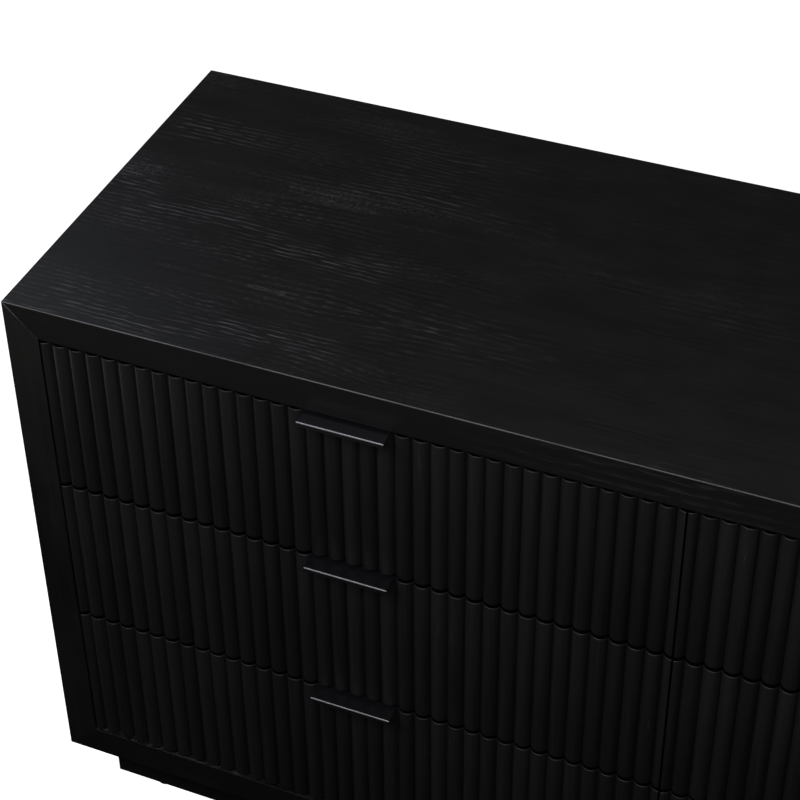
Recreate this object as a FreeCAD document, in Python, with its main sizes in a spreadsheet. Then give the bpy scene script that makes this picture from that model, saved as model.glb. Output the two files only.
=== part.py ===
import FreeCAD, Part
import math
import os

import Sketcher
from FreeCAD import Placement, Rotation, Vector

# A sideboard with six reeded drawers in two columns, in a mitred case on a recessed plinth.
# Millimetres. X runs along the width, the drawers open towards -Y, and Z is up from the floor.
# The origin is on the floor, under the middle of the whole piece, pulls included.

SIZES = {
    # Case
    "case_width": 1500,
    "case_depth": 500,
    "case_height": 696,
    "panel": 40,
    "back_thickness": 9,
    "back_rebate": 12,
    "divider": 22,
    "divider_setback": 24,
    "spline_thickness": 4,
    "spline_width": 20,
    "spline_start": 22,
    "spline_setback": 20,
    # Base
    "plinth_height": 78,
    "plinth_thickness": 30,
    "plinth_recess": 40,
    "plinth_back_recess": 20,
    "glide_height": 6,
    "glide_radius": 12,
    "glide_spacing": 650,
    "stem_radius": 4,
    "stem_length": 30,
    "stem_clearance": 0.25,
    # Reeded drawer fronts
    "drawer_gap": 2.5,
    "front_thickness": 22,
    "reed_count": 36,
    "reed_radius": 10.5,
    "reed_land": 0.75,
    # Pulls let into the top edges of the fronts
    "pull_length": 96,
    "pull_projection": 18,
    "pull_seat": 16,
    "pull_thickness": 2,
    "pull_lip": 6,
    # Drawer boxes
    "box_length": 460,
    "box_height": 150,
    "box_lift": 15,
    "box_board": 12,
    "bottom_thickness": 6,
    "bottom_groove": 6,
    "bottom_lift": 10,
    # Ball-bearing slides
    "slide_space": 13,
    "slide_length": 450,
    "slide_start": 24,
    "slide_lift": 60,
    "slide_steel": 1.2,
    "outer_height": 45,
    "outer_flange": 10,
    "middle_height": 36.6,
    "middle_web": 2.4,
    "middle_tip": 11,
    "inner_height": 28.2,
    "inner_tip": 5,
}

ROWS = ("bottom", "middle", "top")
COLUMNS = {"left": -1, "right": 1}
SIDES = (-1, 1)

# Lengths worked out from the driving dimensions, as expressions.
OPENING_WIDTH = "(Sizes.case_width - 2 * Sizes.panel)"
OPENING_HEIGHT = "(Sizes.case_height - 2 * Sizes.panel)"
FRONT_WIDTH = f"(({OPENING_WIDTH} - 3 * Sizes.drawer_gap) / 2)"
FRONT_HEIGHT = f"(({OPENING_HEIGHT} - {len(ROWS) + 1} * Sizes.drawer_gap) / {len(ROWS)})"
ROW_PITCH = f"({FRONT_HEIGHT} + Sizes.drawer_gap)"
REED_PITCH = f"({FRONT_WIDTH} / Sizes.reed_count)"
BAY_WIDTH = f"(({OPENING_WIDTH} - Sizes.divider) / 2)"
BAY_CENTRE = f"((Sizes.divider + {BAY_WIDTH}) / 2)"
FRONT_CENTRE = f"((Sizes.drawer_gap + {FRONT_WIDTH}) / 2)"
BOX_WIDTH = f"({BAY_WIDTH} - 2 * Sizes.slide_space)"
FACE_Y = "((Sizes.pull_projection - Sizes.case_depth) / 2)"
BACK_Y = f"({FACE_Y} + Sizes.case_depth)"
CASE_BOTTOM = "(Sizes.glide_height + Sizes.plinth_height)"
INNER_BOTTOM = f"({CASE_BOTTOM} + Sizes.panel)"
FIRST_FRONT = f"({INNER_BOTTOM} + Sizes.drawer_gap)"

doc = FreeCAD.newDocument("Sideboard")
sheet = doc.addObject("Spreadsheet::Sheet", "Sizes")
for line, (name, size) in enumerate(SIZES.items(), start=1):
    sheet.set(f"A{line}", name)
    sheet.set(f"B{line}", str(size))
    sheet.setAlias(f"B{line}", name)
doc.recompute()

parts = []


def value(expression):
    """The number that an expression gives with the sheet's sizes."""
    result = sheet.evalExpression(expression)
    return float(getattr(result, "Value", result))


def place(piece, x="0", y="0", z="0", turn=0):
    """Puts a sub-part at a point given as expressions, turned about Y by so many degrees."""
    piece.Placement = Placement(Vector(), Rotation(Vector(0, 1, 0), turn))
    for axis, expression in zip("xyz", (x, y, z)):
        piece.setExpression(f"Placement.Base.{axis}", expression)
    parts.append(piece)


def new_body(label):
    """An empty body, which may hold several like pieces as separate solids."""
    body = doc.addObject("PartDesign::Body", label)
    body.AllowCompound = True
    return body


def new_sketch(body, role, offset="0"):
    """A sketch on one of the body's own planes, moved along the plane's normal."""
    sketch = body.newObject("Sketcher::SketchObject", f"{body.Name}_sketch")
    plane = next(item for item in body.Origin.OriginFeatures if item.Role == role)
    sketch.AttachmentSupport = [(plane, "")]
    sketch.MapMode = "FlatFace"
    sketch.setExpression("AttachmentOffset.Base.z", offset)
    return sketch


def fix(sketch, kind, geometry, point, expression):
    """Holds a point's distance from the sketch's origin at what an expression gives."""
    constraint = Sketcher.Constraint(kind, -1, 1, geometry, point, value(expression))
    index = sketch.addConstraint(constraint)
    sketch.setExpression(f"Constraints[{index}]", expression)


def outline(sketch, corners):
    """A closed outline of straight lines, whose corners are pairs of expressions."""
    points = [Vector(value(x), value(y), 0) for x, y in corners]
    first = sketch.GeometryCount
    for start, end in zip(points, points[1:] + points[:1]):
        sketch.addGeometry(Part.LineSegment(start, end))
    for number, (x, y) in enumerate(corners):
        following = first + (number + 1) % len(corners)
        sketch.addConstraint(Sketcher.Constraint("Coincident", first + number, 2, following, 1))
        fix(sketch, "DistanceX", first + number, 1, x)
        fix(sketch, "DistanceY", first + number, 1, y)


def circle(sketch, x, y, radius):
    """A circle whose centre and radius are expressions."""
    shape = Part.Circle(Vector(value(x), value(y), 0), Vector(0, 0, 1), value(radius))
    index = sketch.addGeometry(shape)
    fix(sketch, "DistanceX", index, 3, x)
    fix(sketch, "DistanceY", index, 3, y)
    rule = sketch.addConstraint(Sketcher.Constraint("Radius", index, value(radius)))
    sketch.setExpression(f"Constraints[{rule}]", radius)


def rectangle(x_low, x_high, y_low, y_high):
    """The corners of a rectangle, in order."""
    return [(x_low, y_low), (x_high, y_low), (x_high, y_high), (x_low, y_high)]


def feature(body, kind, sketch, length, reverse=False):
    """A pad or a pocket of one sketch, over a length given as an expression."""
    result = body.newObject(f"PartDesign::{kind}", f"{body.Name}_{kind.lower()}")
    result.Profile = sketch
    result.setExpression("Length", length)
    result.Reversed = reverse
    return result


def extrusion(label, role, outlines, length, reverse=False):
    """A body made by padding one or more outlines drawn on one plane."""
    body = new_body(label)
    sketch = new_sketch(body, role)
    for corners in outlines:
        outline(sketch, corners)
    feature(body, "Pad", sketch, length, reverse)
    return body


def along_depth(label, outlines, length):
    """Sections drawn in X and Z, run back along +Y."""
    return extrusion(label, "XZ_Plane", outlines, length, reverse=True)


def along_width(label, outlines, length):
    """Sections drawn in Y and Z, run along +X."""
    return extrusion(label, "YZ_Plane", outlines, length)


def plain_board(label, width, depth, height):
    """A rectangular board with no joinery cut in it."""
    board = doc.addObject("Part::Box", label)
    board.setExpression("Length", width)
    board.setExpression("Width", depth)
    board.setExpression("Height", height)
    return board


# A loose tongue crosses each mitre at right angles, so its corners step along and across the
# mitre by these amounts in both X and Z.
MITRE_STEP = "(Sizes.spline_thickness / sqrt(2))"
SPLINE_REACH = "(Sizes.spline_width / 2 / sqrt(2))"
SPLINE_END = f"(Sizes.spline_start + {MITRE_STEP})"
SPLINE_LENGTH = "(Sizes.case_depth - 2 * Sizes.spline_setback)"


def mitred_panel(label, length, x, z, turn):
    """One of the case's four panels: outer face up, both ends mitred, before it is turned."""
    half = f"({length} / 2)"
    section = [
        (f"-{half}", "0"),
        (half, "0"),
        (f"{half} - Sizes.panel", "-Sizes.panel"),
        (f"Sizes.panel - {half}", "-Sizes.panel"),
    ]
    body = along_depth(label, [section], "Sizes.case_depth")
    rebate = new_sketch(body, "YZ_Plane", f"-{half}")
    outline(
        rebate,
        rectangle(
            "Sizes.case_depth - Sizes.back_thickness",
            "Sizes.case_depth",
            "-Sizes.panel",
            "Sizes.back_rebate - Sizes.panel",
        ),
    )
    feature(body, "Pocket", rebate, length, reverse=True)
    slots = new_sketch(body, "XZ_Plane", "-Sizes.spline_setback")
    for side in SIDES:
        outline(
            slots,
            [
                (f"{side} * ({half} - Sizes.spline_start)", "-Sizes.spline_start"),
                (
                    f"{side} * ({half} - Sizes.spline_start - {SPLINE_REACH})",
                    f"{SPLINE_REACH} - Sizes.spline_start",
                ),
                (
                    f"{side} * ({half} - {SPLINE_END} - {SPLINE_REACH})",
                    f"{SPLINE_REACH} - {SPLINE_END}",
                ),
                (f"{side} * ({half} - {SPLINE_END})", f"-{SPLINE_END}"),
            ],
        )
    feature(body, "Pocket", slots, SPLINE_LENGTH)
    place(body, x, FACE_Y, z, turn)


def mitre_splines():
    """Four loose tongues, each half in one panel and half in the next."""
    sections = []
    for across in SIDES:
        for up in SIDES:
            sections.append(
                [
                    (
                        f"{across} * (Sizes.case_width / 2 - {along} + {step} * {SPLINE_REACH})",
                        f"{up} * (Sizes.case_height / 2 - {along} - {step} * {SPLINE_REACH})",
                    )
                    for along, step in (
                        ("Sizes.spline_start", -1),
                        (SPLINE_END, -1),
                        (SPLINE_END, 1),
                        ("Sizes.spline_start", 1),
                    )
                ]
            )
    body = along_depth("mitre_splines", sections, SPLINE_LENGTH)
    place(
        body,
        y=f"{FACE_Y} + Sizes.spline_setback",
        z=f"{CASE_BOTTOM} + Sizes.case_height / 2",
    )


def case():
    """The mitred case, its back and the divider between the two columns."""
    middle = f"{CASE_BOTTOM} + Sizes.case_height / 2"
    mitred_panel("top_panel", "Sizes.case_width", "0", f"{CASE_BOTTOM} + Sizes.case_height", 0)
    mitred_panel("bottom_panel", "Sizes.case_width", "0", CASE_BOTTOM, 180)
    mitred_panel("right_side_panel", "Sizes.case_height", "Sizes.case_width / 2", middle, 90)
    mitred_panel("left_side_panel", "Sizes.case_height", "-Sizes.case_width / 2", middle, -90)
    mitre_splines()
    back = plain_board(
        "back_panel",
        f"{OPENING_WIDTH} + 2 * Sizes.back_rebate",
        "Sizes.back_thickness",
        f"{OPENING_HEIGHT} + 2 * Sizes.back_rebate",
    )
    place(
        back,
        f"-{OPENING_WIDTH} / 2 - Sizes.back_rebate",
        f"{BACK_Y} - Sizes.back_thickness",
        f"{INNER_BOTTOM} - Sizes.back_rebate",
    )
    divider = plain_board(
        "centre_divider",
        "Sizes.divider",
        "Sizes.case_depth - Sizes.divider_setback - Sizes.back_thickness",
        OPENING_HEIGHT,
    )
    place(divider, "-Sizes.divider / 2", f"{FACE_Y} + Sizes.divider_setback", INNER_BOTTOM)


def glide_places():
    """Where the glides stand along a plinth rail."""
    return [f"{step} * Sizes.glide_spacing" for step in (-1, 0, 1)]


def plinth_rail(label, y):
    """A long plinth rail, bored from below for the stems of the glides."""
    half = "(Sizes.case_width / 2 - Sizes.plinth_recess)"
    body = new_body(label)
    board = new_sketch(body, "XY_Plane")
    outline(board, rectangle(f"-{half}", half, "0", "Sizes.plinth_thickness"))
    feature(body, "Pad", board, "Sizes.plinth_height")
    bores = new_sketch(body, "XY_Plane")
    for x in glide_places():
        circle(
            bores, x, "Sizes.plinth_thickness / 2", "Sizes.stem_radius + Sizes.stem_clearance"
        )
    feature(body, "Pocket", bores, "Sizes.stem_length + Sizes.stem_clearance", reverse=True)
    place(body, "0", y, "Sizes.glide_height")


def base():
    """The recessed plinth and the levelling glides that it stands on."""
    front = f"({FACE_Y} + Sizes.plinth_recess)"
    rear = f"({BACK_Y} - Sizes.plinth_back_recess - Sizes.plinth_thickness)"
    plinth_rail("plinth_front", front)
    plinth_rail("plinth_back", rear)

    outer = "(Sizes.case_width / 2 - Sizes.plinth_recess)"
    inner = f"({outer} - Sizes.plinth_thickness)"
    ends = [
        rectangle(f"{side} * {inner}", f"{side} * {outer}", "0", "Sizes.plinth_height")
        for side in SIDES
    ]
    body = along_depth("plinth_ends", ends, f"{rear} - {front} - Sizes.plinth_thickness")
    place(body, y=f"{front} + Sizes.plinth_thickness", z="Sizes.glide_height")

    glides = new_body("levelling_glides")
    for radius, length in (
        ("Sizes.glide_radius", "Sizes.glide_height"),
        ("Sizes.stem_radius", "Sizes.glide_height + Sizes.stem_length"),
    ):
        sketch = new_sketch(glides, "XY_Plane")
        for x in glide_places():
            for y in (front, rear):
                circle(sketch, x, f"{y} + Sizes.plinth_thickness / 2", radius)
        feature(glides, "Pad", sketch, length)
    place(glides)


def reed_groove(sketch):
    """The hollow between the half reed at a front's left edge and the reed beside it.

    Each reed's face is an arc, flat only over a narrow land at its crest, and the two arcs
    meet at the bottom of the groove.
    """
    radius = value("Sizes.reed_radius")
    land = value("Sizes.reed_land")
    pitch = value(REED_PITCH)
    edge = -value(FRONT_WIDTH) / 2
    centre_depth = "sqrt(Sizes.reed_radius ^ 2 - Sizes.reed_land ^ 2)"
    crest = math.atan2(value(centre_depth), land)
    floor = math.acos(pitch / 2 / radius)
    for x, start, end in (
        (edge, -crest, -floor),
        (edge + pitch, math.pi + floor, math.pi + crest),
    ):
        shape = Part.Circle(Vector(x, value(centre_depth), 0), Vector(0, 0, 1), radius)
        sketch.addGeometry(Part.ArcOfCircle(shape, start, end))
    left, right = 0, 1
    mouth = sketch.addGeometry(
        Part.LineSegment(Vector(edge + pitch - land, 0, 0), Vector(edge + land, 0, 0))
    )
    for first, first_end, second, second_end in (
        (left, 2, right, 1),
        (right, 2, mouth, 1),
        (mouth, 2, left, 1),
    ):
        sketch.addConstraint(
            Sketcher.Constraint("Coincident", first, first_end, second, second_end)
        )
    rule = sketch.addConstraint(Sketcher.Constraint("Radius", left, radius))
    sketch.setExpression(f"Constraints[{rule}]", "Sizes.reed_radius")
    half = f"({FRONT_WIDTH} / 2)"
    fix(sketch, "DistanceX", left, 3, f"-{half}")
    fix(sketch, "DistanceY", left, 3, centre_depth)
    fix(sketch, "DistanceX", left, 1, f"Sizes.reed_land - {half}")
    fix(sketch, "DistanceX", left, 2, f"{REED_PITCH} / 2 - {half}")
    fix(sketch, "DistanceX", right, 3, f"{REED_PITCH} - {half}")
    fix(sketch, "DistanceY", right, 3, centre_depth)
    fix(sketch, "DistanceX", right, 2, f"{REED_PITCH} - Sizes.reed_land - {half}")


def drawer_front(label, x, z):
    """A reeded front, with a seat for the pull let into its top edge."""
    body = new_body(label)
    board = new_sketch(body, "XY_Plane")
    outline(
        board,
        rectangle(f"-{FRONT_WIDTH} / 2", f"{FRONT_WIDTH} / 2", "0", "Sizes.front_thickness"),
    )
    feature(body, "Pad", board, FRONT_HEIGHT)
    groove = new_sketch(body, "XY_Plane")
    reed_groove(groove)
    cut = feature(body, "Pocket", groove, FRONT_HEIGHT, reverse=True)
    reeds = body.newObject("PartDesign::LinearPattern", f"{label}_reeds")
    reeds.Originals = [cut]
    reeds.Direction = (groove, ["H_Axis"])
    reeds.setExpression("Length", f"{FRONT_WIDTH} - {REED_PITCH}")
    reeds.setExpression("Occurrences", "Sizes.reed_count")
    body.Tip = reeds
    seat = new_sketch(body, "XZ_Plane")
    outline(
        seat,
        rectangle(
            "-Sizes.pull_length / 2",
            "Sizes.pull_length / 2",
            f"{FRONT_HEIGHT} - Sizes.pull_thickness",
            FRONT_HEIGHT,
        ),
    )
    feature(body, "Pocket", seat, "Sizes.pull_seat")
    place(body, x, FACE_Y, z)


def drawer_pull(label, x, z):
    """An edge pull: a plate that lies in the front's top edge and turns down into a lip."""
    section = [
        ("Sizes.pull_seat", "0"),
        ("-Sizes.pull_projection", "0"),
        ("-Sizes.pull_projection", "-Sizes.pull_lip"),
        ("Sizes.pull_thickness - Sizes.pull_projection", "-Sizes.pull_lip"),
        ("Sizes.pull_thickness - Sizes.pull_projection", "-Sizes.pull_thickness"),
        ("Sizes.pull_seat", "-Sizes.pull_thickness"),
    ]
    body = along_width(label, [section], "Sizes.pull_length")
    place(body, f"{x} - Sizes.pull_length / 2", FACE_Y, f"{z} + {FRONT_HEIGHT}")


def drawer_box(prefix, x, z):
    """Two sides, a front and a back, grooved for a bottom that is let in all round."""
    low = "Sizes.bottom_lift"
    high = "(Sizes.bottom_lift + Sizes.bottom_thickness)"
    start = f"({FACE_Y} + Sizes.front_thickness)"
    lift = f"({z} + Sizes.box_lift)"

    sides = [
        [
            (f"{side} * {BOX_WIDTH} / 2", "0"),
            (f"{side} * ({BOX_WIDTH} / 2 - Sizes.box_board)", "0"),
            (f"{side} * ({BOX_WIDTH} / 2 - Sizes.box_board)", low),
            (f"{side} * ({BOX_WIDTH} / 2 - Sizes.box_board + Sizes.bottom_groove)", low),
            (f"{side} * ({BOX_WIDTH} / 2 - Sizes.box_board + Sizes.bottom_groove)", high),
            (f"{side} * ({BOX_WIDTH} / 2 - Sizes.box_board)", high),
            (f"{side} * ({BOX_WIDTH} / 2 - Sizes.box_board)", "Sizes.box_height"),
            (f"{side} * {BOX_WIDTH} / 2", "Sizes.box_height"),
        ]
        for side in SIDES
    ]
    place(along_depth(f"{prefix}_box_sides", sides, "Sizes.box_length"), x, start, lift)

    inner_width = f"({BOX_WIDTH} - 2 * Sizes.box_board)"
    for end, y, inward in (("front", start, 1), ("back", f"({start} + Sizes.box_length)", -1)):
        section = [
            ("0", "0"),
            (f"{inward} * Sizes.box_board", "0"),
            (f"{inward} * Sizes.box_board", low),
            (f"{inward} * (Sizes.box_board - Sizes.bottom_groove)", low),
            (f"{inward} * (Sizes.box_board - Sizes.bottom_groove)", high),
            (f"{inward} * Sizes.box_board", high),
            (f"{inward} * Sizes.box_board", "Sizes.box_height"),
            ("0", "Sizes.box_height"),
        ]
        board = along_width(f"{prefix}_box_{end}", [section], inner_width)
        place(board, f"{x} - {inner_width} / 2", y, lift)

    border = "(Sizes.box_board - Sizes.bottom_groove)"
    bottom = plain_board(
        f"{prefix}_box_bottom",
        f"{BOX_WIDTH} - 2 * {border}",
        f"Sizes.box_length - 2 * {border}",
        "Sizes.bottom_thickness",
    )
    place(bottom, f"{x} - {BOX_WIDTH} / 2 + {border}", f"{start} + {border}", f"{lift} + {low}")


def channel(x, side, web, tip, height, inward):
    """A slide member's section: a web and two flanges, measured from the wall of the bay."""
    half = f"({height} / 2)"
    wall = f"({x} + {side} * {BAY_WIDTH} / 2)"
    root = f"{wall} - {side} * {web}"
    face = f"{wall} - {side} * ({web} + {inward} * Sizes.slide_steel)"
    end = f"{wall} - {side} * {tip}"
    return [
        (root, f"-{half}"),
        (end, f"-{half}"),
        (end, f"Sizes.slide_steel - {half}"),
        (face, f"Sizes.slide_steel - {half}"),
        (face, f"{half} - Sizes.slide_steel"),
        (end, f"{half} - Sizes.slide_steel"),
        (end, half),
        (root, half),
    ]


SLIDE_Y = f"({FACE_Y} + Sizes.slide_start)"
SLIDE_RISE = "(Sizes.box_lift + Sizes.slide_lift)"


def outer_slides():
    """The twelve slide members fixed to the case: one each side of each drawer."""
    sections = [
        channel(
            f"{column} * {BAY_CENTRE}", side, "0", "Sizes.outer_flange", "Sizes.outer_height", 1
        )
        for column in COLUMNS.values()
        for side in SIDES
    ]
    body = new_body("slide_outer_members")
    sketch = new_sketch(body, "XZ_Plane")
    for corners in sections:
        outline(sketch, corners)
    row = feature(body, "Pad", sketch, "Sizes.slide_length", reverse=True)
    rows = body.newObject("PartDesign::LinearPattern", "slide_rows")
    rows.Originals = [row]
    rows.Direction = (sketch, ["V_Axis"])
    rows.setExpression("Length", f"{len(ROWS) - 1} * {ROW_PITCH}")
    rows.Occurrences = len(ROWS)
    body.Tip = rows
    place(body, y=SLIDE_Y, z=f"{FIRST_FRONT} + {SLIDE_RISE}")


def moving_slides(prefix, x, z):
    """The middle and inner members of a drawer's two slides, nested in the outer ones."""
    for name, web, tip, height, inward in (
        ("middle", "Sizes.middle_web", "Sizes.middle_tip", "Sizes.middle_height", 1),
        ("inner", "Sizes.slide_space", "Sizes.inner_tip", "Sizes.inner_height", -1),
    ):
        sections = [channel("0", side, web, tip, height, inward) for side in SIDES]
        body = along_depth(f"{prefix}_slide_{name}_members", sections, "Sizes.slide_length")
        place(body, x, SLIDE_Y, f"{z} + {SLIDE_RISE}")


def check():
    """Stops if anything failed, if a sub-part isn't valid, or if a pocket removed nothing."""
    for item in doc.Objects:
        if "Invalid" in item.State or "Error" in item.State:
            raise RuntimeError(f"{item.Name} failed: {item.State}")
        if item.TypeId == "PartDesign::Pocket":
            if item.Shape.Volume > item.BaseFeature.Shape.Volume - 1:
                raise RuntimeError(f"{item.Name} cuts nothing")
    for piece in parts:
        if piece.Shape.isNull() or not piece.Shape.isValid():
            raise RuntimeError(f"{piece.Label} has no valid shape")


case()
base()
outer_slides()
for level, row_name in enumerate(ROWS):
    z = f"({FIRST_FRONT} + {level} * {ROW_PITCH})"
    for column_name, column in COLUMNS.items():
        prefix = f"{row_name}_{column_name}"
        front_x = f"({column} * {FRONT_CENTRE})"
        bay_x = f"({column} * {BAY_CENTRE})"
        drawer_front(f"{prefix}_drawer_front", front_x, z)
        drawer_pull(f"{prefix}_drawer_pull", front_x, z)
        drawer_box(prefix, bay_x, z)
        moving_slides(prefix, bay_x, z)
doc.recompute()
check()

os.makedirs("parts", exist_ok=True)
for piece in parts:
    piece.Shape.exportStep(f"parts/{piece.Label}.step")
    print(piece.Label, len(piece.Shape.Solids), round(piece.Shape.Volume))
print(len(parts), "sub-parts")
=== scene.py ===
import math
import random

import bmesh
import bpy
from mathutils import Matrix, Vector

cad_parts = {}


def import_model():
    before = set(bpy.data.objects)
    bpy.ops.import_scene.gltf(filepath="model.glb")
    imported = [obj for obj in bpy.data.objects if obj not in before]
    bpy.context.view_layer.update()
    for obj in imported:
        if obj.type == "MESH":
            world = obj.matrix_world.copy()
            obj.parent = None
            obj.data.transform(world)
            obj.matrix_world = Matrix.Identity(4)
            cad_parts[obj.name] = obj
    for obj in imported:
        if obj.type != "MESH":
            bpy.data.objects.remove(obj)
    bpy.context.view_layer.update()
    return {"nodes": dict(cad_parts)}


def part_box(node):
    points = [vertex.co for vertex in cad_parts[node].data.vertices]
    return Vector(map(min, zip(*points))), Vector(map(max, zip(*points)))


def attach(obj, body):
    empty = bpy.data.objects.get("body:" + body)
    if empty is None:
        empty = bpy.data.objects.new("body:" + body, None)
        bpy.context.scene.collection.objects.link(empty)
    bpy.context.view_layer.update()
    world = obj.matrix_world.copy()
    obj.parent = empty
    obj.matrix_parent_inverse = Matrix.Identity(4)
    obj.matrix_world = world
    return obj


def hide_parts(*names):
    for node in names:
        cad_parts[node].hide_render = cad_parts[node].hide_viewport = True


# The looks of a black sideboard with six reeded drawers. Metres, in the CAD's own frame.

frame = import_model()
scene = bpy.context.scene
MM = 0.001
ROWS = ("bottom", "middle", "top")
COLUMNS = ("left", "right")
DRAWERS = [f"{row}_{column}" for row in ROWS for column in COLUMNS]
LEFT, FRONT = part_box("top_panel")[0][:2]

# Veneer: a leaf's width, the heart's place across a leaf and how it sinks along the board, the
# growth rings' pitch, and the colours of open pores and of the painted arris highlight and mitre
# seam.
LEAF = 260 * MM
HEART = 170 * MM
HEART_SLOPE = 0.036
RING_PITCH = 7.8 * MM
PORE = (0.118, 0.118, 0.120)
# The colour of the painted highlight along the front arris, and of the paler mitre seam.
HIGHLIGHT_AND_SEAM_COLOUR = (0.13, 0.13, 0.135)
SIDE_GLOSS = 0.70

# Reeded fronts: the reeds, how far their ends are rounded, and how far they stop below the top.
REED_COUNT = 36
REED_RADIUS = 10.5 * MM
REED_DEPTH = 9 * MM
TOP_EASE = 1.5 * MM
BOTTOM_EASE = 2.8 * MM
END_DROP = 1.4 * MM
BACK_LAND = 2 * MM
REED_STEPS = 14
EASE_STEPS = 4

# The pull's seat in the top of a front.
PULL_SEAT = 16 * MM
PULL_THICKNESS = 2 * MM
PULL_LENGTH = 96 * MM

# Screws: a head's outline as shares of its radius and height, and a countersink's outline as
# radius and height.
SCREW_SIDES = 24
SCREW_OUTLINE = ((1.0, 0.0), (1.0, 0.18), (0.93, 0.42), (0.78, 0.68), (0.55, 0.88), (0.28, 0.98))
SINK_OUTLINE = ((4.3 * MM, -2.0 * MM), (4.9 * MM, 0.0), (5.4 * MM, 0.5 * MM))
SINK_DEPTH = 1.75 * MM
BACK_INSET = 14 * MM
FACING = {"+Y": Matrix.Rotation(-math.pi / 2, 4, "X"), "+Z": Matrix.Identity(4)}

# Lamp powers in watts, and the strengths of the world and of the glowing floor card.
OVERHEAD = 55
WINDOW = 4.5
FILL = 1.2
STRIP = 3.8
AMBIENT = 0.068
CARD = 0.165
CARD_REACH = 5.0
FLOOR_REACH = 14.0
WARM = (1.0, 0.97, 1.04)
COOL = (0.88, 0.96, 1.08)

# Turns that bring a board's length onto X.
TURNS = {"X": (0, 0, 0), "Y": (0, 0, math.pi / 2), "Z": (0, math.pi / 2, 0)}


# ---------------------------------------------------------------------------------------------
# Node materials
# ---------------------------------------------------------------------------------------------


class Nodes:
    """A small helper that builds one material's node tree."""

    def __init__(self, name):
        self.material = bpy.data.materials.new(name)
        self.material.use_nodes = True
        self.tree = self.material.node_tree
        self.shader = self.tree.nodes["Principled BSDF"]

    def node(self, kind, inputs=None, **settings):
        """Adds a node; inputs maps a socket's name or number to a value or to another socket."""
        made = self.tree.nodes.new(kind)
        for key, setting in settings.items():
            setattr(made, key, setting)
        for key, content in (inputs or {}).items():
            self.feed(made.inputs[key], content)
        return made

    def feed(self, socket, content):
        if isinstance(content, bpy.types.NodeSocket):
            self.tree.links.new(content, socket)
        else:
            socket.default_value = content

    def set(self, **inputs):
        """Sets the Principled shader's sockets, named with underscores for spaces."""
        for key, content in inputs.items():
            self.feed(self.shader.inputs[key.replace("_", " ")], content)

    def math(self, operation, *values):
        made = self.tree.nodes.new("ShaderNodeMath")
        made.operation = operation
        for socket, content in zip(made.inputs, values):
            self.feed(socket, content)
        return made.outputs[0]

    def plus(self, first, second):
        return self.math("ADD", first, second)

    def minus(self, first, second):
        return self.math("SUBTRACT", first, second)

    def times(self, first, *others):
        for other in others:
            first = self.math("MULTIPLY", first, other)
        return first

    def larger(self, first, second):
        return self.math("MAXIMUM", first, second)

    def place(self, rotation=(0, 0, 0)):
        """The object's own coordinates, in metres, turned."""
        coordinates = self.node("ShaderNodeTexCoord").outputs["Object"]
        mapping = self.node("ShaderNodeMapping", {"Vector": coordinates, "Rotation": rotation})
        return mapping.outputs["Vector"]

    def split(self, vector):
        """A vector's three parts."""
        return self.node("ShaderNodeSeparateXYZ", {0: vector}).outputs

    def scaled(self, vector, scale):
        return self.node(
            "ShaderNodeVectorMath", {0: vector, 1: scale}, operation="MULTIPLY"
        ).outputs[0]

    def noise(self, vector, scale, detail=2.0, roughness=0.5):
        """Noise with so many cells to the metre along each axis."""
        return self.node(
            "ShaderNodeTexNoise",
            {
                "Vector": self.scaled(vector, scale),
                "Scale": 1.0,
                "Detail": detail,
                "Roughness": roughness,
            },
        ).outputs["Fac"]

    def span(self, content, low, high, to_low=0.0, to_high=1.0):
        """Maps low..high smoothly to to_low..to_high, held at both ends."""
        return self.node(
            "ShaderNodeMapRange",
            {0: content, 1: low, 2: high, 3: to_low, 4: to_high},
            interpolation_type="SMOOTHSTEP",
        ).outputs[0]

    def mix(self, share, first, second):
        """Mixes two colours by a share."""
        made = self.node("ShaderNodeMix", data_type="RGBA")
        self.feed(made.inputs[0], share)
        for socket, content in ((made.inputs[6], first), (made.inputs[7], second)):
            self.feed(socket, content if isinstance(content, bpy.types.NodeSocket) else (*content, 1))
        return made.outputs[2]

    def bump(self, height, distance):
        made = self.node("ShaderNodeBump", {"Height": height, "Distance": distance, "Strength": 1.0})
        self.feed(self.shader.inputs["Normal"], made.outputs["Normal"])


def leaf_point(m, along, origin):
    """A point of a veneered board: along it, across its leaf and in depth."""
    x, y, z = m.split(m.place(TURNS[along]))
    across = m.math("PINGPONG", m.minus(y, origin[1]), LEAF)
    return m.minus(x, origin[0]), across, m.minus(z, origin[2])


def early_wood(m, x, across, z):
    """The porous part of each growth ring: cones about the heart, which sinks along the board."""
    depth = m.minus(m.times(x, HEART_SLOPE), z)
    squares = m.plus(m.times(across, across), m.times(depth, depth))
    ring = m.math("FRACT", m.math("DIVIDE", m.math("SQRT", squares), RING_PITCH))
    return m.span(m.math("PINGPONG", ring, 0.5), 0.20, 0.40)


def open_pores(m, spot, across, early):
    """Dashes in lines beside the heart, dots over it, paler in some patches than in others."""
    lines = m.span(m.noise(spot, (36, 800, 800), detail=1.0), 0.51, 0.62)
    short = m.span(m.noise(spot, (95, 1250, 1250), detail=1.0), 0.52, 0.64)
    dots = m.span(m.noise(spot, (280, 880, 880), detail=1.0), 0.56, 0.66)
    middle = m.span(m.math("ABSOLUTE", across), 0.045, 0.010)
    patches = m.noise(spot, (3.0, 11, 11), detail=3.0, roughness=0.6)
    haze = m.span(m.noise(spot, (4.5, 17, 17)), 0.42, 0.66, 0.05, 0.55)
    strong = m.times(lines, m.span(patches, 0.46, 0.62))
    beside = m.times(early, m.larger(strong, m.times(short, haze)))
    over = m.times(dots, middle, m.span(patches, 0.42, 0.60))
    return m.larger(beside, over)


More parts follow.
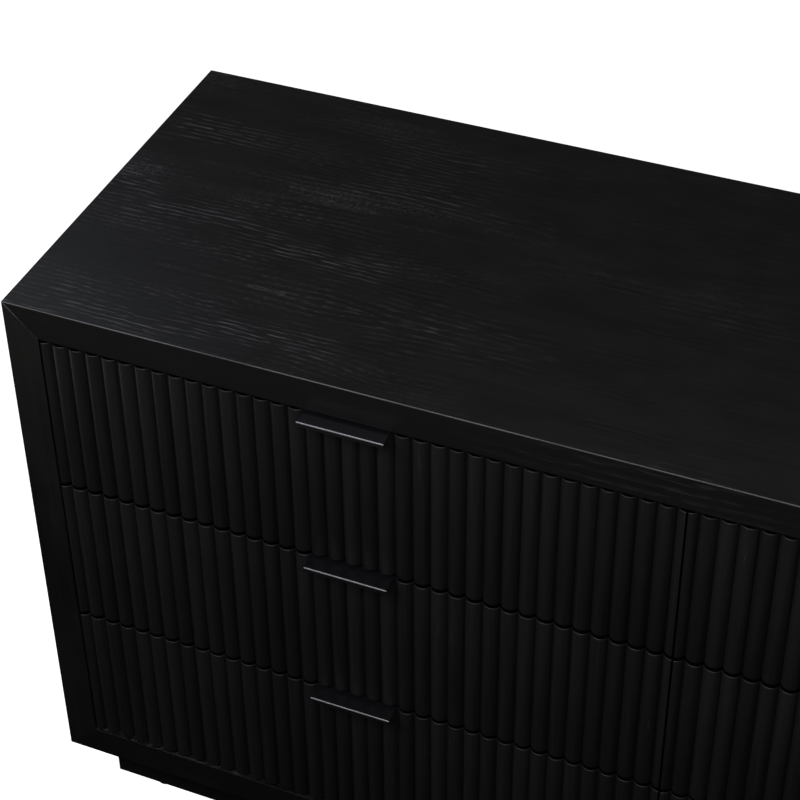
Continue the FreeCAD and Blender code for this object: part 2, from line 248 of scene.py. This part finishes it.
def pore_share(m, own, x, edge):
    """How much the pores show: less along the board and to the rear, and little on its front."""
    fading = m.times(m.span(x, 0.20, 0.62, 1.0, 0.12), m.span(own[1], -0.02, 0.22, 1.0, 0.4))
    front = m.span(x, 0.50, 0.75, 0.2 * edge, edge)
    return m.span(own[1], FRONT + 0.2 * MM, FRONT + 1.5 * MM, front, fading)


def painted_arris_and_seam(m, own, arris, ripple):
    """A painted highlight along the front arris at a height, and the seam of the mitre at the front
    left corner.
    """
    below = m.minus(arris, own[2])
    near = m.larger(below, m.minus(own[1], FRONT))
    # Painted highlight: a pale band along the front arris, varied a little along its length.
    painted_highlight = m.times(m.span(near, 1.2 * MM, 0.6 * MM), m.span(ripple, 0.25, 0.55, 0.55, 1.0))
    seam = m.math("ABSOLUTE", m.minus(m.minus(own[0], LEFT), below))
    mitre = m.times(
        m.span(seam, 1.0 * MM, 0.5 * MM),
        m.span(below, 22 * MM, 12 * MM, 0.0, 0.6),
        m.span(own[1], FRONT + 2 * MM, FRONT + 1 * MM),
    )
    return m.larger(painted_highlight, mitre)


def black_veneer(name, along, origin, arris=None, gloss=0.40, edge=0.06):
    """Black-stained, flat-sliced, open-pored veneer in book-matched leaves.

    origin is a point of the face where a leaf starts: along the board, across it and in depth.
    arris is the height of the front edge that carries a painted highlight, where there is one. edge
    is the pores' share on the board's front edge.
    """
    m = Nodes(name)
    own = m.split(m.place())
    x, y, z = leaf_point(m, along, origin)
    spot = m.node("ShaderNodeCombineXYZ", {0: x, 1: y, 2: z}).outputs[0]
    drift = m.noise(spot, (1.5, 4.0, 4.0), detail=3.0)
    ripple = m.noise(spot, (8, 30, 30))
    sway = m.plus(m.times(m.minus(drift, 0.5), 0.11), m.times(m.minus(ripple, 0.5), 0.008))
    across = m.plus(m.minus(y, HEART), sway)
    pores = open_pores(m, spot, across, early_wood(m, x, across, z))
    marks = m.times(pores, pore_share(m, own, x, edge))
    fibre = m.noise(spot, (6, 240, 240), detail=3.0, roughness=0.7)
    mottle = m.noise(spot, (16, 30, 30))
    mixed = m.plus(m.times(fibre, 0.5), m.times(mottle, 0.5))
    ground = m.mix(m.span(mixed, 0.3, 0.7), (0.0032, 0.0031, 0.0032), (0.0054, 0.0052, 0.0054))
    colour = m.mix(marks, ground, PORE)
    # Painted highlight along the front arris, and a paler line along the mitre seam.
    if arris is not None:
        colour = m.mix(painted_arris_and_seam(m, own, arris, ripple), colour, HIGHLIGHT_AND_SEAM_COLOUR)
    m.set(Base_Color=colour, Specular_IOR_Level=gloss)
    m.set(Roughness=m.span(mixed, 0.3, 0.7, 0.31, 0.39))
    m.bump(m.minus(m.times(fibre, 0.3), marks), 0.08 * MM)
    return m.material


def reed_finish(name):
    """Satin black lacquer on upright-grained reeds, each reed a slightly different black."""
    m = Nodes(name)
    spot = m.place()
    x = m.split(spot)[0]
    number = m.math("FLOOR", m.plus(m.math("DIVIDE", x, reed_pitch()), 0.5))
    own = m.node("ShaderNodeTexWhiteNoise", {"W": number}, noise_dimensions="1D").outputs["Value"]
    grain = m.noise(spot, (420, 420, 9), detail=3.0, roughness=0.65)
    specks = m.noise(spot, (330, 330, 22), roughness=0.6)
    wear = m.noise(spot, (6, 6, 5), detail=3.0, roughness=0.6)
    tone = m.plus(m.times(grain, 0.7), m.times(own, 0.3))
    ground = m.mix(m.span(tone, 0.25, 0.75), (0.0076, 0.0074, 0.0079), (0.0122, 0.0119, 0.0126))
    spots = m.times(m.span(specks, 0.66, 0.78), m.span(wear, 0.50, 0.66))
    colour = m.mix(spots, ground, (0.030, 0.030, 0.032))
    # Painted shade: the flat tops and bottoms, and the upper part of each rounded end, are darkened
    # nearly to black for the shaded gaps between drawers. The flats are also smoother than the reeds.
    facing = m.node("ShaderNodeNewGeometry").outputs["Normal"]
    upward = m.math("ABSOLUTE", m.split(facing)[2])
    m.set(Base_Color=m.mix(m.span(upward, 0.64, 0.90), colour, (0.0014, 0.0014, 0.0015)))
    satin = m.span(m.plus(grain, wear), 0.7, 1.3, 0.40, 0.52)
    m.set(Roughness=m.span(m.span(upward, 0.86, 0.95), 0.0, 1.0, satin, 0.15))
    m.set(Specular_IOR_Level=0.26)
    m.bump(grain, 0.10 * MM)
    return m.material


def pull_finish(name, low, high):
    """Black anodised aluminium, brushed along its length, with a painted highlight along its front
    edges.
    """
    m = Nodes(name)
    spot = m.place()
    y, z = m.split(spot)[1:]
    brush = m.noise(spot, (14, 1800, 1800), detail=3.0, roughness=0.7)
    rub = m.noise(spot, (40, 120, 120), detail=3.0)
    body = m.mix(m.span(brush, 0.3, 0.7), (0.0042, 0.0044, 0.0052), (0.0066, 0.0069, 0.0080))
    # Painted highlight: a pale, partly metallic band along the lip's top front edge, and a fainter
    # one along its lower edge.
    upper = m.span(m.minus(high.z, z), 1.4 * MM, 1.0 * MM)
    lower = m.span(m.minus(z, low.z), 0.8 * MM, 0.4 * MM, 0.0, 0.35)
    front = m.span(m.minus(y, low.y), 1.0 * MM, 0.7 * MM)
    edge = m.times(m.larger(upper, lower), front)
    m.set(Base_Color=m.mix(edge, body, (0.46, 0.47, 0.49)))
    m.set(Metallic=m.times(edge, 0.5))
    m.set(Roughness=m.span(rub, 0.3, 0.7, 0.28, 0.36), Specular_IOR_Level=0.40)
    m.bump(brush, 0.03 * MM)
    return m.material


def matt_board(name, dark, light, along="X"):
    """A plain stained board with a faint straight grain."""
    m = Nodes(name)
    spot = m.place(TURNS[along])
    fibre = m.noise(spot, (6, 240, 240), detail=4.0, roughness=0.7)
    cloud = m.noise(spot, (3, 12, 12), detail=3.0)
    both = m.plus(m.times(fibre, 0.7), m.times(cloud, 0.3))
    m.set(Base_Color=m.mix(m.span(both, 0.3, 0.7), dark, light))
    m.set(Roughness=m.span(cloud, 0.3, 0.7, 0.5, 0.62), Specular_IOR_Level=0.35)
    m.bump(fibre, 0.12 * MM)
    return m.material


def light_timber(name, along):
    """Clear-finished pale hardwood with brown growth lines and short dark pores."""
    m = Nodes(name)
    spot = m.place(TURNS[along])
    warp = m.noise(spot, (1.5, 8, 8), detail=3.0)
    y, z = m.split(spot)[1:]
    across = m.plus(m.plus(y, z), m.times(warp, 0.05))
    line = m.math("PINGPONG", m.math("FRACT", m.math("DIVIDE", across, 9 * MM)), 0.5)
    fibre = m.noise(spot, (8, 420, 420), detail=4.0, roughness=0.7)
    pores = m.span(m.noise(spot, (60, 1600, 1600)), 0.60, 0.72)
    ground = m.mix(m.span(line, 0.05, 0.45), (0.36, 0.225, 0.118), (0.47, 0.32, 0.185))
    ground = m.mix(m.span(fibre, 0.25, 0.75, 0.0, 0.6), ground, (0.30, 0.18, 0.09))
    m.set(Base_Color=m.mix(m.times(pores, 0.55), ground, (0.13, 0.07, 0.035)))
    m.set(Roughness=m.span(fibre, 0.3, 0.7, 0.38, 0.5))
    m.bump(m.minus(fibre, pores), 0.10 * MM)
    return m.material


def zinc(name):
    """Bright zinc-plated pressed steel, with a faint crystal bloom."""
    m = Nodes(name)
    spot = m.place()
    bloom = m.node("ShaderNodeTexVoronoi", {"Vector": spot, "Scale": 900.0}).outputs["Distance"]
    smear = m.noise(spot, (60, 9, 60), detail=3.0)
    m.set(
        Base_Color=m.mix(m.span(smear, 0.3, 0.7), (0.50, 0.51, 0.53), (0.62, 0.63, 0.65)),
        Metallic=1.0,
        Roughness=m.span(m.plus(bloom, smear), 0.3, 1.2, 0.26, 0.42),
    )
    m.bump(bloom, 0.03 * MM)
    return m.material


def moulded(name, colour):
    """Matt moulded plastic with a fine eggshell texture."""
    m = Nodes(name)
    spot = m.place()
    shell = m.noise(spot, (1400, 1400, 1400))
    cast = m.noise(spot, (40, 40, 40))
    lighter = tuple(1.35 * c for c in colour)
    m.set(Base_Color=m.mix(m.span(cast, 0.3, 0.7), colour, lighter))
    m.set(Roughness=m.span(shell, 0.3, 0.7, 0.48, 0.62))
    m.bump(shell, 0.04 * MM)
    return m.material


# ---------------------------------------------------------------------------------------------
# Shapes
# ---------------------------------------------------------------------------------------------


def finished(work, name):
    """Turns a bmesh into a mesh, and frees it."""
    mesh = bpy.data.meshes.new(name)
    work.to_mesh(mesh)
    work.free()
    return mesh


def piece(name, mesh, body, slot, material, *nodes):
    """Puts a mesh in the scene, riding on a body, with a finish, in place of CAD nodes."""
    made = bpy.data.objects.new(name, mesh)
    scene.collection.objects.link(made)
    mesh.materials.clear()
    mesh.materials.append(material)
    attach(made, body)
    if nodes:
        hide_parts(*nodes)
    return made


def ease_edges(item, width, segments):
    """Rounds an object's sharp edges with a bevel modifier."""
    ease = item.modifiers.new("Ease", "BEVEL")
    ease.width = width
    ease.segments = segments
    ease.limit_method = "ANGLE"
    ease.angle_limit = math.radians(30)


def finish_node(node, material, bevel=0.0, segments=3):
    """Gives a CAD node its material, and eases its edges with modifiers."""
    item = frame["nodes"][node]
    item.data.materials.clear()
    item.data.materials.append(material)
    if bevel:
        weld = item.modifiers.new("Weld", "WELD")
        weld.merge_threshold = 0.01 * MM
        ease_edges(item, bevel, segments)
        item.modifiers.new("Normals", "WEIGHTED_NORMAL")


def front_size():
    low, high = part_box("top_left_drawer_front")
    return high - low


def reed_pitch():
    return front_size().x / REED_COUNT


def reed_section():
    """Points (x, depth, outward normal) across a front, from its left edge to its right."""
    pitch = reed_pitch()
    limit = math.asin(pitch / 2 / REED_RADIUS)
    points = []
    for number in range(REED_COUNT + 1):
        for step in range(REED_STEPS + 1):
            angle = limit * (2 * step / REED_STEPS - 1)
            x = number * pitch + REED_RADIUS * math.sin(angle)
            inside = -1e-7 <= x <= REED_COUNT * pitch + 1e-7
            if not inside or (points and step == 0):
                continue
            normal = (math.sin(angle), -math.cos(angle))
            if step == REED_STEPS:
                normal = (0.0, -1.0)
            points.append((x, REED_RADIUS * (1 - math.cos(angle)), normal))
    return points


def reeded_mesh():
    """A drawer front at its own lower left corner: reeds with eased ends on a solid board.

    The reeds stop a little below the top, and from behind them it rises gently to the board.
    """
    size = front_size()
    rows = []
    for step in range(EASE_STEPS + 1):
        angle = math.pi / 2 * step / EASE_STEPS
        rows.append((BOTTOM_EASE * (1 - math.cos(angle)), BOTTOM_EASE * (1 - math.sin(angle))))
    for step in range(EASE_STEPS + 1):
        angle = math.pi / 2 * step / EASE_STEPS
        drop = END_DROP + TOP_EASE * (1 - math.sin(angle))
        rows.append((size.z - drop, TOP_EASE * (1 - math.cos(angle))))
    mesh = bmesh.new()
    loops = []
    for x, depth, (across, outward) in reed_section():
        at_end = x < 1e-6 or x > size.x - 1e-6
        loop = []
        for z, inset in rows:
            shift = 0.0 if at_end else -across * inset
            loop.append(mesh.verts.new((x + shift, depth - outward * inset, z)))
        loop.append(mesh.verts.new((x, REED_DEPTH, size.z - END_DROP)))
        loop.append(mesh.verts.new((x, size.y - BACK_LAND, size.z)))
        loop.append(mesh.verts.new((x, size.y, size.z)))
        loop.append(mesh.verts.new((x, size.y, 0)))
        loops.append(loop)
    for first, second in zip(loops, loops[1:]):
        for number in range(len(first)):
            after = (number + 1) % len(first)
            mesh.faces.new((first[number], second[number], second[after], first[after]))
    mesh.faces.new(loops[0])
    mesh.faces.new(loops[-1][::-1])
    bmesh.ops.recalc_face_normals(mesh, faces=mesh.faces)
    return finished(mesh, "reeded_front")


def block_mesh(low, high):
    """A box between two corners."""
    mesh = bmesh.new()
    corners = [
        mesh.verts.new((x, y, z))
        for x in (low[0], high[0])
        for y in (low[1], high[1])
        for z in (low[2], high[2])
    ]
    for face in ((0, 1, 3, 2), (4, 6, 7, 5), (0, 4, 5, 1), (2, 3, 7, 6), (0, 2, 6, 4), (1, 5, 7, 3)):
        mesh.faces.new([corners[number] for number in face])
    bmesh.ops.recalc_face_normals(mesh, faces=mesh.faces)
    return finished(mesh, "block")


def rounded(work, outline, place=Matrix.Identity(4)):
    """Adds a closed round shape to a bmesh: rings of (radius, height) about the place's Z."""
    rings = []
    for radius, height in outline:
        ring = []
        for number in range(SCREW_SIDES):
            turn = 2 * math.pi * number / SCREW_SIDES
            point = Vector((radius * math.cos(turn), radius * math.sin(turn), height))
            ring.append(work.verts.new(place @ point))
        rings.append(ring)
    for lower, upper in zip(rings, rings[1:]):
        for number in range(SCREW_SIDES):
            after = (number + 1) % SCREW_SIDES
            work.faces.new((lower[number], lower[after], upper[after], upper[number]))
    work.faces.new(rings[0][::-1])
    work.faces.new(rings[-1])


def cut(mesh, cutter):
    """A mesh with another mesh's space taken out of it."""
    whole = bpy.data.objects.new("whole", mesh)
    tool = bpy.data.objects.new("tool", cutter)
    scene.collection.objects.link(whole)
    scene.collection.objects.link(tool)
    change = whole.modifiers.new("Cut", "BOOLEAN")
    change.operation = "DIFFERENCE"
    change.solver = "EXACT"
    change.object = tool
    bpy.context.view_layer.update()
    graph = bpy.context.evaluated_depsgraph_get()
    result = bpy.data.meshes.new_from_object(whole.evaluated_get(graph))
    bpy.data.objects.remove(whole)
    bpy.data.objects.remove(tool)
    return result


def smooth_by_angle(mesh, degrees):
    """Smooth shading, with edges sharper than an angle kept sharp."""
    work = bmesh.new()
    work.from_mesh(mesh)
    for face in work.faces:
        face.smooth = True
    for edge in work.edges:
        edge.smooth = edge.is_manifold and edge.calc_face_angle(0.0) < math.radians(degrees)
    work.to_mesh(mesh)
    work.free()


def drawer_fronts(material):
    """One reeded front with a seat cut for its pull, copied to each drawer."""
    size = front_size()
    middle = size.x / 2
    seat = block_mesh(
        (middle - PULL_LENGTH / 2, -1 * MM, size.z - PULL_THICKNESS),
        (middle + PULL_LENGTH / 2, PULL_SEAT, size.z + 1 * MM),
    )
    template = cut(reeded_mesh(), seat)
    smooth_by_angle(template, 32)
    for drawer in DRAWERS:
        node = f"{drawer}_drawer_front"
        mesh = template.copy()
        mesh.transform(Matrix.Translation(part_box(node)[0]))
        piece(f"{drawer}_reeded_front", mesh, f"{drawer}_drawer", "reeded_front", material, node)


def screw_mesh(radius, height):
    """A cross-head screw's visible head, its flat on z = 0 and its face up."""
    work = bmesh.new()
    rounded(work, [(reach * radius, level * height) for reach, level in SCREW_OUTLINE])
    head = finished(work, "screw")
    reach, width = radius * 0.56, radius * 0.13
    for x, y in ((reach, width), (width, reach)):
        head = cut(head, block_mesh((-x, -y, height * 0.35), (x, y, height * 2)))
    smooth_by_angle(head, 30)
    return head


def screws(name, head, places, facing, body, slot, material):
    """One piece that holds several screw heads, each turned a little differently."""
    mesh = bmesh.new()
    turn = random.Random(name)
    for place in places:
        spin = Matrix.Rotation(turn.uniform(0, math.pi / 2), 4, "Z")
        one = head.copy()
        one.transform(Matrix.Translation(place) @ FACING[facing] @ spin)
        mesh.from_mesh(one)
        bpy.data.meshes.remove(one)
    result = finished(mesh, name)
    smooth_by_angle(result, 30)
    return piece(name, result, body, slot, material)


# ---------------------------------------------------------------------------------------------
# Putting the piece together
# ---------------------------------------------------------------------------------------------


def case():
    """The veneered case. Each veneer starts its leaves somewhere else, so no two look alike."""
    right, _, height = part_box("top_panel")[1]
    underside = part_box("bottom_panel")[0].z
    top = black_veneer("Veneer top", "X", (-0.80, -0.12, height), height, edge=0.13)
    bottom = black_veneer("Veneer bottom", "X", (-0.9, 0.1, underside))
    left_side = black_veneer("Veneer left", "Z", (0.0, 0.03, right), height, SIDE_GLOSS)
    right_side = black_veneer("Veneer right", "Z", (-0.1, -0.05, -right), None, SIDE_GLOSS)
    inside = matt_board("Inside board", (0.010, 0.010, 0.010), (0.016, 0.0155, 0.015), "Z")
    finish_node("top_panel", top, 1.1 * MM)
    finish_node("bottom_panel", bottom, 0.8 * MM)
    finish_node("left_side_panel", left_side, 0.8 * MM)
    finish_node("right_side_panel", right_side, 0.8 * MM)
    finish_node("centre_divider", inside, 0.5 * MM)
    finish_node("mitre_splines", light_timber("Spline beech", "Y"), 0.3 * MM)


def base():
    """The lacquered plinth and its plastic glides."""
    paint = matt_board("Plinth lacquer", (0.0055, 0.0055, 0.0058), (0.0075, 0.0075, 0.0078))
    for node in ("plinth_front", "plinth_back", "plinth_ends"):
        finish_node(node, paint, 0.8 * MM)
    finish_node("levelling_glides", moulded("Glide plastic", (0.012, 0.012, 0.012)), 0.8 * MM)


def drawers():
    """Reeded fronts, metal pulls, pale timber boxes and zinc-plated slides."""
    drawer_fronts(reed_finish("Reed lacquer"))
    pulls = {}
    for row in ROWS:
        pulls[row] = pull_finish(f"Pull anodised {row}", *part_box(f"{row}_left_drawer_pull"))
    sides = light_timber("Box sides", "Y")
    ends = light_timber("Box ends", "X")
    steel = zinc("Slide zinc")
    for drawer in DRAWERS:
        finish_node(f"{drawer}_drawer_pull", pulls[drawer.split("_")[0]], 0.9 * MM)
        finish_node(f"{drawer}_box_sides", sides, 0.8 * MM)
        for part in ("front", "back"):
            finish_node(f"{drawer}_box_{part}", ends, 0.8 * MM)
        finish_node(f"{drawer}_box_bottom", ends)
        for part in ("middle", "inner"):
            finish_node(f"{drawer}_slide_{part}_members", steel, 0.25 * MM, 2)
    finish_node("slide_outer_members", steel, 0.25 * MM, 2)


def fixings():
    """Screw heads: behind each pull, inside each drawer box and round the back panel."""
    steel = zinc("Screw zinc")
    black = moulded("Screw black oxide", (0.010, 0.010, 0.011))
    small = screw_mesh(2.3 * MM, 0.6 * MM)
    large = screw_mesh(4.0 * MM, 1.7 * MM)
    for drawer in DRAWERS:
        body = f"{drawer}_drawer"
        low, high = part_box(f"{drawer}_drawer_pull")
        middle = (low.x + high.x) / 2
        seats = [(middle + side * 32 * MM, high.y - 5 * MM, high.z) for side in (-1, 1)]
        screws(f"{drawer}_pull_screws", small, seats, "+Z", body, "pull_metal", black)
        low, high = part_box(f"{drawer}_box_front")
        centre = (low + high) / 2
        places = [
            (centre.x + across, high.y, centre.z + up)
            for across in (-0.22, 0.22)
            for up in (-0.035, 0.035)
        ]
        screws(f"{drawer}_front_screws", large, places, "+Y", body, "drawer_box", steel)
    back_board(large, steel)


def back_screw_places(low, high):
    """Nine screws along the top and bottom of the back, and three up each side and the middle."""
    left, right = low.x + BACK_INSET, high.x - BACK_INSET
    lower, upper = low.z + BACK_INSET, high.z - BACK_INSET
    places = []
    for number in range(9):
        x = left + (right - left) * number / 8
        places += [(x, high.y, lower), (x, high.y, upper)]
    for number in (1, 2, 3):
        z = lower + (upper - lower) * number / 4
        places += [(x, high.y, z) for x in (left, 0.0, right)]
    return places


def back_board(head, steel):
    """The back panel with countersunk holes, and a screw in each."""
    low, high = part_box("back_panel")
    places = back_screw_places(low, high)
    cutter = bmesh.new()
    for place in places:
        rounded(cutter, SINK_OUTLINE, Matrix.Translation(place) @ FACING["+Y"])
    bmesh.ops.recalc_face_normals(cutter, faces=cutter.faces)
    mesh = cut(block_mesh(low, high), finished(cutter, "holes"))
    board = matt_board("Back board", (0.012, 0.0115, 0.011), (0.020, 0.019, 0.018))
    made = piece("back_board", mesh, "case", "back_board", board, "back_panel")
    ease_edges(made, 0.4 * MM, 2)
    sunk = [(x, y - SINK_DEPTH, z) for x, y, z in places]
    screws("back_panel_screws", head, sunk, "+Y", "case", "back_board", steel)


# ---------------------------------------------------------------------------------------------
# Stage, lights and camera
# ---------------------------------------------------------------------------------------------


def sheet(name, reach, z):
    """A flat square about the origin, as a new object."""
    mesh = bmesh.new()
    corners = [(-reach, -reach, z), (reach, -reach, z), (reach, reach, z), (-reach, reach, z)]
    mesh.faces.new([mesh.verts.new(corner) for corner in corners])
    made = bpy.data.objects.new(name, finished(mesh, name))
    scene.collection.objects.link(made)
    return made


def floor():
    """The pale floor that the camera sees. floor_card() stands in for it everywhere else."""
    m = Nodes("Pale floor")
    m.set(Base_Color=(0.86, 0.86, 0.86, 1), Roughness=0.9, Specular_IOR_Level=0.0)
    m.set(Emission_Color=(1, 1, 1, 1), Emission_Strength=0.85)
    ground = sheet("floor", FLOOR_REACH, 0)
    ground.data.materials.append(m.material)
    ground.visible_diffuse = False
    ground.visible_glossy = False


def floor_card():
    """The floor as the object's gloss and shade see it: a glowing card, black nearby as a painted
    shadow of the object, softly glowing further out and in a faint patch in front of the left end.
    """
    m = Nodes("Floor bounce")
    x, y = m.split(m.place())[:2]
    # Painted shadow: no glow close in front, where the object shades the floor; a glowing band
    # further out, and a faint glowing patch in front of the left end.
    front = m.times(m.span(y, -0.82, -1.10), m.span(y, -1.05, -1.60, 1.0, 0.55))
    front = m.times(front, m.span(x, 0.6, -1.4, 0.85, 1.15))
    corner = m.times(m.span(x, 0.1, -0.6, 0.0, 0.13), m.span(y, -0.64, -0.44))
    corner = m.times(corner, m.span(y, -0.24, -0.30))
    m.set(Base_Color=(0, 0, 0, 1), Specular_IOR_Level=0.0, Roughness=1.0)
    m.set(Emission_Color=(1.0, 0.95, 0.86, 1))
    m.set(Emission_Strength=m.times(m.plus(front, corner), CARD))
    card = sheet("Floor bounce", CARD_REACH, -2 * MM)
    card.data.materials.append(m.material)
    card.visible_camera = False


def softbox(name, place, aim, size, power, colour=(1, 1, 1)):
    """A rectangular studio light that faces a point."""
    data = bpy.data.lights.new(name, "AREA")
    data.shape = "RECTANGLE"
    data.size, data.size_y = size
    data.energy = power
    data.color = colour
    lamp = bpy.data.objects.new(name, data)
    lamp.location = place
    direction = Vector(aim) - Vector(place)
    lamp.rotation_euler = direction.to_track_quat("-Z", "Y").to_euler()
    scene.collection.objects.link(lamp)


def world():
    """A white surround to the camera, and a dim one to the object."""
    sky = bpy.data.worlds.new("Studio")
    scene.world = sky
    sky.use_nodes = True
    tree = sky.node_tree
    background = tree.nodes["Background"]
    background.inputs["Color"].default_value = (1, 1, 1, 1)
    path = tree.nodes.new("ShaderNodeLightPath")
    level = tree.nodes.new("ShaderNodeMapRange")
    level.inputs[3].default_value = AMBIENT
    level.inputs[4].default_value = 1.0
    tree.links.new(path.outputs["Is Camera Ray"], level.inputs[0])
    tree.links.new(level.outputs[0], background.inputs["Strength"])


def lights():
    """Each lamp's place and aim, its size, power and colour."""
    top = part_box("top_panel")[1].z
    overhead = (-0.55, -1.9, 2.6), (-0.1, -0.2, 0.6)
    window = (-2.15, 1.1, 2.9), (-0.5, 0.0, top)
    fill = (-1.9, -0.42, 0.12), (-0.5, -0.24, 0.15)
    strip = (0.3, 0.9, 2.9), (0.2, -0.2, top)
    softbox("Overhead softbox", *overhead, (3.4, 0.9), OVERHEAD, WARM)
    softbox("Window light", *window, (1.2, 1.2), WINDOW, COOL)
    softbox("Side fill", *fill, (0.3, 0.3), FILL)
    softbox("Ceiling strip", *strip, (2.4, 0.6), STRIP)
    floor_card()


def camera():
    """The photograph's viewing angle, from above and to the right."""
    data = bpy.data.cameras.new("Camera")
    data.sensor_width = 36
    data.lens = 95.872
    data.shift_x, data.shift_y = 0.05, -0.05
    eye = bpy.data.objects.new("Camera", data)
    eye.location = (0.32699, -1.7209, 2.13096)
    eye.rotation_euler = [math.radians(angle) for angle in (51.113, 1.254, 23.162)]
    scene.collection.objects.link(eye)
    scene.camera = eye


scene.view_settings.view_transform = "Standard"
case()
base()
drawers()
fixings()
floor()
world()
lights()
camera()
